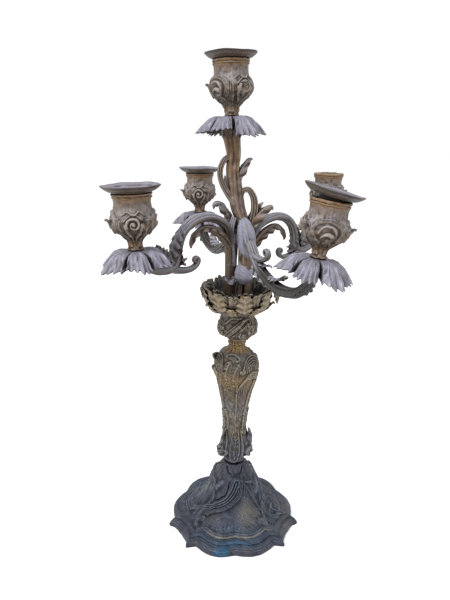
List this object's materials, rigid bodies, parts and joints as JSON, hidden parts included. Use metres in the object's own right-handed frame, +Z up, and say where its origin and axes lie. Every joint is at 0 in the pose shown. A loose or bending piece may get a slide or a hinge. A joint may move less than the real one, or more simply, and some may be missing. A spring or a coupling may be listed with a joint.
{
  "type": "candelabra",
  "caption": "Tall table candelabra in cast patinated bronze: scrolled arms with leaf drip pans and vase candle sockets round a leaning leafy stem, on a baluster and a cusped, lobed base.",
  "frame": {"origin": "bottom centre of the whole object's box, on the surface it stands on; the stem axis is at x = -7.4 mm, y = -5.1 mm", "axes": "+Z up, -Y the front (the side with the two forward arms), +X the object's right as seen from the front"},
  "size_m": [0.2841, 0.3255, 0.557],
  "materials": {
    "bronze": "aged ochre-olive bronze patina, satin",
    "dusty_bronze": "weathered lavender-grey bronze patina, matt",
    "dark_bronze": "dark blue-grey bronze patina with ochre edges, satin",
    "steel": "dull tarnished steel fasteners"
  },
  "bodies": {
    "candelabra": {"base": "dark_bronze", "base_washer": "steel", "base_nut": "steel", "tie_rod": "steel", "baluster": "bronze", "knop": "bronze", "acanthus_bowl": "bronze", "upper_stem": "bronze", "arm_front_left": "dusty_bronze", "arm_nut_front_left": "steel", "arm_front_right": "dusty_bronze", "arm_nut_front_right": "steel", "arm_back_left": "dusty_bronze", "arm_nut_back_left": "steel", "arm_back_right": "dusty_bronze", "arm_nut_back_right": "steel", "pan_top": "dusty_bronze", "socket_top": "bronze", "socket_screw_top": "steel", "pan_front_left": "dusty_bronze", "socket_front_left": "bronze", "socket_screw_front_left": "steel", "pan_front_right": "dusty_bronze", "socket_front_right": "bronze", "socket_screw_front_right": "steel", "pan_back_left": "dusty_bronze", "socket_back_left": "bronze", "socket_screw_back_left": "steel", "pan_back_right": "dusty_bronze", "socket_back_right": "bronze", "socket_screw_back_right": "steel"},
    "bobeche_top": {"bobeche_top": "dusty_bronze"},
    "bobeche_front_left": {"bobeche_front_left": "dusty_bronze"},
    "bobeche_front_right": {"bobeche_front_right": "dusty_bronze"},
    "bobeche_back_left": {"bobeche_back_left": "dusty_bronze"}
  },
  "joints": [
    {"name": "lift_bobeche_top", "type": "slide", "parent": "candelabra", "child": "bobeche_top", "axis": [-0.0349, 0, 0.9994], "range_m": [0, 0.03]},
    {"name": "lift_bobeche_front_left", "type": "slide", "parent": "candelabra", "child": "bobeche_front_left", "axis": [-0.0436, 0, 0.999], "range_m": [0, 0.03]},
    {"name": "lift_bobeche_front_right", "type": "slide", "parent": "candelabra", "child": "bobeche_front_right", "axis": [0.1564, 0, 0.9877], "range_m": [0, 0.03]},
    {"name": "lift_bobeche_back_left", "type": "slide", "parent": "candelabra", "child": "bobeche_back_left", "axis": [0, 0, 1], "range_m": [0, 0.03]}
  ]
}
